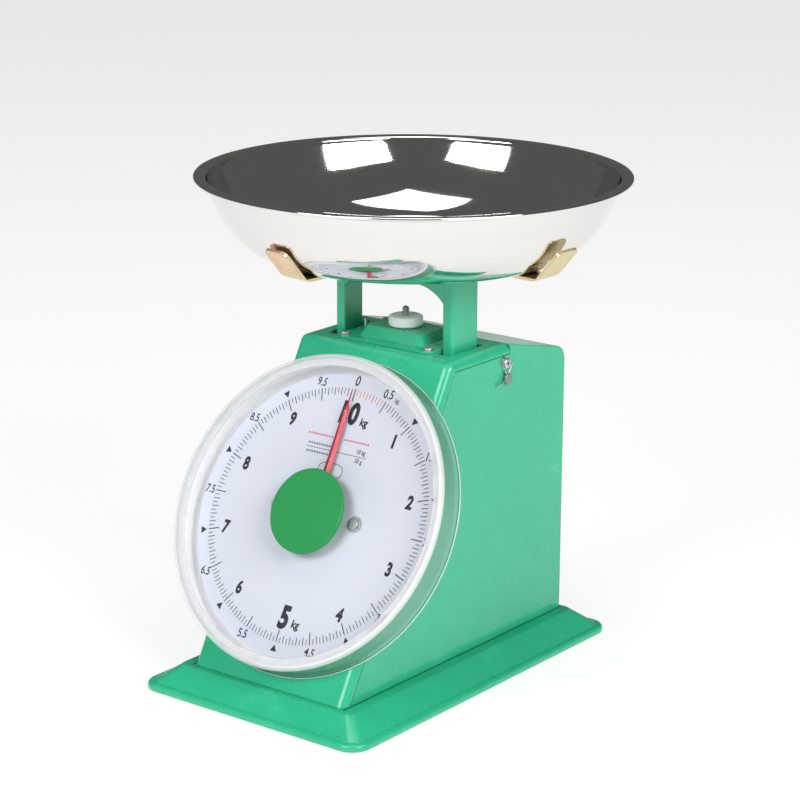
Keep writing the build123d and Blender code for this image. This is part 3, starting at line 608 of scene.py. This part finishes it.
def build_numbers():
    digit, large = Style(0.78, 0.047, 0.08), Style(0.76, 0.05, 0.07)
    unit, plain = Style(0.92, 0.03, 0.1), Style(0.82, 0.012, 0.08)
    bold = [(str(kg), *on_dial(kg, 74.5 * MM), 9.8 * MM, digit) for kg in (1, 2, 3, 4, 6, 7, 8, 9)]
    bold += [
        ("1", -4.4 * MM, 72.6 * MM, 16.2 * MM, large),
        ("0", 5.0 * MM, 72.6 * MM, 16.2 * MM, large),
        ("kg", 15.2 * MM, 67.4 * MM, 7.4 * MM, unit),
        ("5", 0.6 * MM, -71.8 * MM, 16.6 * MM, large),
        ("kg", 11.4 * MM, -75.4 * MM, 7.4 * MM, unit)]
    small = [
        ("0", 0, 95.2 * MM, 7.2 * MM, plain),
        ("0.5", 28.0 * MM, 90.6 * MM, 6.2 * MM, plain),
        ("kg", 36.4 * MM, 86.9 * MM, 4.2 * MM, plain)]
    small += [(f"{kg}.5", *on_dial(kg + 0.5, 94.4 * MM), 5.9 * MM, plain) for kg in range(1, CAPACITY)]
    small += [
        ("10 kg", 20.5 * MM, 47.6 * MM, 4.2 * MM, plain),
        ("50 g", 20.5 * MM, 41.4 * MM, 4.2 * MM, plain)]
    build_words("dial_numbers", BLACK_INK, bold)
    build_words("dial_small_numbers", BLACK_INK, small)


build_ticks()
build_marks()
build_numbers()


# --- pointer: folded blade with a shoulder, a needle and a rivet ----------------------------------
def build_pointer():
    _, high, reach = dial_heights("pointer")
    edge, sheet, hub_r, hub_h = 3.5 * MM, 0.5 * MM, 5.5 * MM, 1.2 * MM
    rivet_r, rivet_y, rivet_rise = 0.75 * MM, 72.5 * MM, 0.6 * MM
    stations = [  # along the blade, half width, height of the fold, in mm
        (-20, 2.9, 1.1), (28, 2.8, 1.1), (70, 2.15, 0.95), (73.5, 2.1, 0.9), (75.5, 1.7, 0.7),
        (77.0, 0.9, 0.45), (78.5, 0.55, 0.3), (reach / MM, 0.22, 0.15)]
    vertices, faces = [], []
    for y, half, rise in stations:
        y, half, rise = y * MM, half * MM, rise * MM
        vertices += [(-half, y, edge), (0, y, edge + rise), (half, y, edge),
                     (half, y, edge - sheet), (0, y, edge + rise - sheet), (-half, y, edge - sheet)]
    corners = 6
    for k in range(len(stations) - 1):
        here, there = corners * k, corners * (k + 1)
        for i in range(corners):
            j = (i + 1) % corners
            faces.append([here + i, here + j, there + j, there + i])
    last = corners * (len(stations) - 1)
    faces += [[5, 4, 1, 0], [4, 3, 2, 1]]
    faces += [[last, last + 1, last + 4, last + 5], [last + 1, last + 2, last + 3, last + 4]]
    hub, hub_faces = spin([(0, edge - hub_h), (hub_r, edge - hub_h), (hub_r, high), (0, high)], segments=48)
    first = len(vertices)
    vertices += hub
    faces += [[first + i for i in face] for face in hub_faces]
    blade = add_mesh("pointer_blade", vertices, faces, [RED_LIGHT, RED_PAINTED_SHADE], "pointer",
                     sharp=12, replaces=["pointer"], place=DIAL)
    for polygon in blade.data.polygons:
        spot = DIAL_INVERSE @ polygon.center
        if spot.x < 0 and spot.y > 6 * MM:
            polygon.material_index = 1  # painted shade: a darker copy of the red on the left side of the fold

    cap = [(0, rivet_r)] + arc(0, 0, rivet_r, 90, 0, 6)[1:] + [(0, 0)]
    vertices, faces = spin(cap, segments=24)
    place = DIAL @ Matrix.Translation((0, rivet_y, edge + rivet_rise))
    add_mesh("pointer_rivet", vertices, faces, [ZINC], "pointer", sharp=40, place=place)


build_pointer()


# --- tension springs ------------------------------------------------------------------------------
def build_spring(node):
    """Close-wound coil that fills the node's sleeve."""
    low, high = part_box(node)
    wire, pitch = 1.1 * MM, 2.24 * MM
    coil_r = (high.x - low.x) / 2 - wire
    turns = int((high.z - low.z - 2 * wire) / pitch)
    steps, ring = 20, 8
    vertices, faces = [], []
    for k in range(turns * steps + 1):
        turn = 2 * pi * k / steps
        z = low.z + wire + (high.z - low.z - 2 * wire) * k / (turns * steps)
        for i in range(ring):
            lean = 2 * pi * i / ring
            r = coil_r + wire * cos(lean)
            vertices.append((r * cos(turn), r * sin(turn), z + wire * sin(lean)))
    for k in range(turns * steps):
        for i in range(ring):
            j = (i + 1) % ring
            faces.append([k * ring + i, k * ring + j, (k + 1) * ring + j, (k + 1) * ring + i])
    faces.append(list(range(ring)))
    faces.append([turns * steps * ring + i for i in reversed(range(ring))])
    middle = (low + high) / 2
    place = Matrix.Translation((middle.x, middle.y, 0))
    coil = add_mesh(node + "_coil", vertices, faces, [SPRING_STEEL], None,
                    sharp=60, replaces=[node], place=place)
    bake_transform(coil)


for spring in ("left_spring", "right_spring"):
    build_spring(spring)


# --- threaded hanger bolt with a domed tip --------------------------------------------------------
def build_bolt():
    radius = (BOLT_HIGH.x - BOLT_LOW.x) / 2
    pitch, depth, thread_long, dome = 0.8 * MM, 0.38 * MM, 26 * MM, 1.2 * MM
    dome_rows = ((0.45, 0.35), (0.8, 0.9), (1.0, 1.5))  # share of the height, step inwards in mm
    tip_r = 0.3 * MM
    segments, rows = 32, 6
    thread_low = BOLT_HIGH.z - thread_long
    levels = [BOLT_LOW.z, thread_low - 0.1 * MM]
    count = int((BOLT_HIGH.z - dome - thread_low) / pitch * rows)
    levels += [thread_low + pitch * k / rows for k in range(count + 1)]
    vertices, faces = [], []
    for z in levels:
        for i in range(segments):
            turn = i / segments
            wave = abs(((z - thread_low) / pitch - turn) % 1 - 0.5) * 2
            r = radius - (depth * wave if z >= thread_low else 0)
            vertices.append((r * cos(2 * pi * turn), r * sin(2 * pi * turn), z))
    for lift, inset in dome_rows:
        r = max(radius - depth - inset * MM, tip_r)
        z = levels[-1] + (BOLT_HIGH.z - levels[-1]) * lift
        for i in range(segments):
            turn = 2 * pi * i / segments
            vertices.append((r * cos(turn), r * sin(turn), z))
    rings = len(levels) + len(dome_rows)
    for k in range(rings - 1):
        for i in range(segments):
            j = (i + 1) % segments
            faces.append([k * segments + i, k * segments + j, (k + 1) * segments + j, (k + 1) * segments + i])
    faces.append(list(reversed(range(segments))))
    faces.append([(rings - 1) * segments + i for i in range(segments)])
    place = Matrix.Translation((BOLT_CENTRE.x, BOLT_CENTRE.y, 0))
    add_mesh("hanger_bolt_thread", vertices, faces, [DULL_ZINC], "hanger", sharp=40,
             replaces=["hanger_bolt"], place=place)


build_bolt()


# --- studio: pale floor and soft lights -----------------------------------------------------------
FLOOR_R, FLOOR_SIDES, FLOOR_GLOW = 40.0, 64, 0.72
LIGHTS_AIM = Vector((0, 0, 0.2))
WORLD_STRENGTH = 0.1


def build_floor():
    """One wide plain disc. Most of its brightness is its own glow, so that it stays pale."""
    paint = Paint("studio_floor", Roughness=0.9, Specular_IOR_Level=0.0, Emission_Color=(1, 1, 1, 1),
                  Emission_Strength=FLOOR_GLOW)
    paint.ramp(paint.noise(2.0, 2.0), [(0.3, 0.37), (0.7, 0.39)], "Base Color")
    turns = [2 * pi * k / FLOOR_SIDES for k in range(FLOOR_SIDES)]
    mesh = bpy.data.meshes.new("floor")
    mesh.from_pydata([(FLOOR_R * cos(a), FLOOR_R * sin(a), 0) for a in turns], [], [range(FLOOR_SIDES)])
    mesh.materials.append(paint.material)
    floor = bpy.data.objects.new("floor", mesh)
    bpy.context.scene.collection.objects.link(floor)


def toward(azimuth, elevation):
    """Unit vector from the object towards a compass point, azimuth 0 being its front."""
    a, e = radians(azimuth), radians(elevation)
    return Vector((sin(a) * cos(e), -cos(a) * cos(e), sin(e)))


def softbox(name, azimuth, elevation, distance, size, power):
    """Rectangular light that faces the object. Distance and size are in metres, power in watts."""
    light = bpy.data.lights.new(name, "AREA")
    light.shape = "RECTANGLE"
    light.size, light.size_y = size
    light.energy = power
    holder = bpy.data.objects.new(name, light)
    out = toward(azimuth, elevation)
    holder.location = LIGHTS_AIM + out * distance
    holder.rotation_euler = out.to_track_quat("Z", "Y").to_euler()
    bpy.context.scene.collection.objects.link(holder)


world = bpy.data.worlds.new("studio")
bpy.context.scene.world = world
world.use_nodes = True
surround = world.node_tree.nodes["Background"]
surround.inputs["Color"].default_value = (1, 1, 1, 1)
surround.inputs["Strength"].default_value = WORLD_STRENGTH

build_floor()
softbox("front_softbox", -5, 30, 2.5, (1.5, 0.9), 36)
softbox("side_softbox", 75, 30, 2.5, (1.6, 1.0), 44)
softbox("top_softbox", 0, 90, 3.0, (1.6, 1.6), 25)


# --- camera, fitted to the photograph: degrees and metres -----------------------------------------
TARGET = Vector((0.01534, -0.0181, 0.19296))
VIEW_AZIMUTH, VIEW_ELEVATION, VIEW_ROLL = 37.734, 15.880, 0.257
VIEW_DISTANCE = 1.80662
LENS_MM, SENSOR_MM = 119.06, 36.0


def build_camera():
    data = bpy.data.cameras.new("camera")
    data.lens = LENS_MM
    data.sensor_width = SENSOR_MM
    data.clip_end = 200.0
    camera = bpy.data.objects.new("camera", data)
    bpy.context.scene.collection.objects.link(camera)
    back = toward(VIEW_AZIMUTH, VIEW_ELEVATION)
    level_right = Vector((0, 0, 1)).cross(back).normalized()
    level_up = back.cross(level_right)
    roll = radians(VIEW_ROLL)
    right = level_right * cos(roll) + level_up * sin(roll)
    up = level_up * cos(roll) - level_right * sin(roll)
    pose = Matrix((right, up, back)).transposed().to_4x4()
    pose.translation = TARGET + back * VIEW_DISTANCE
    camera.matrix_world = pose
    bpy.context.scene.camera = camera


build_camera()
bpy.context.scene.view_settings.view_transform = "Standard"
